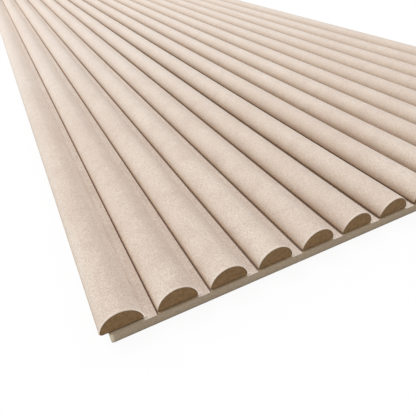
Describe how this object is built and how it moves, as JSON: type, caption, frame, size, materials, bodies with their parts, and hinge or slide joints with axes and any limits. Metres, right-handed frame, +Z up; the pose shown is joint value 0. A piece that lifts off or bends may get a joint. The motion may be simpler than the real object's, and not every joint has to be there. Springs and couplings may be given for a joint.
{
  "type": "acoustic panel",
  "caption": "Flat acoustic wall panel of parallel half-round wrapped slats glued on a felt backing board, with lapped long edges for joining panels side by side.",
  "frame": {"origin": "under the middle of the overall outline, on the panel's flat back face", "axes": "+Z up out of the slatted face with the panel lying on its back, +Y along the slats, +X across them towards the edge where the backing forms a lip"},
  "size_m": [0.6054, 2.4, 0.0225],
  "materials": {
    "felt": "dense pressed felt",
    "fibreboard": "sawn fibreboard",
    "wrap": "fine suede-like sheet"
  },
  "bodies": {
    "root": {"backing_board": "felt", "slat_core_01": "fibreboard", "slat_core_02": "fibreboard", "slat_core_03": "fibreboard", "slat_core_04": "fibreboard", "slat_core_05": "fibreboard", "slat_core_06": "fibreboard", "slat_core_07": "fibreboard", "slat_core_08": "fibreboard", "slat_core_09": "fibreboard", "slat_core_10": "fibreboard", "slat_core_11": "fibreboard", "slat_core_12": "fibreboard", "slat_core_13": "fibreboard", "slat_core_14": "fibreboard", "slat_core_15": "fibreboard", "slat_core_16": "fibreboard", "slat_wrap_01": "wrap", "slat_wrap_02": "wrap", "slat_wrap_03": "wrap", "slat_wrap_04": "wrap", "slat_wrap_05": "wrap", "slat_wrap_06": "wrap", "slat_wrap_07": "wrap", "slat_wrap_08": "wrap", "slat_wrap_09": "wrap", "slat_wrap_10": "wrap", "slat_wrap_11": "wrap", "slat_wrap_12": "wrap", "slat_wrap_13": "wrap", "slat_wrap_14": "wrap", "slat_wrap_15": "wrap", "slat_wrap_16": "wrap"}
  },
  "joints": []
}
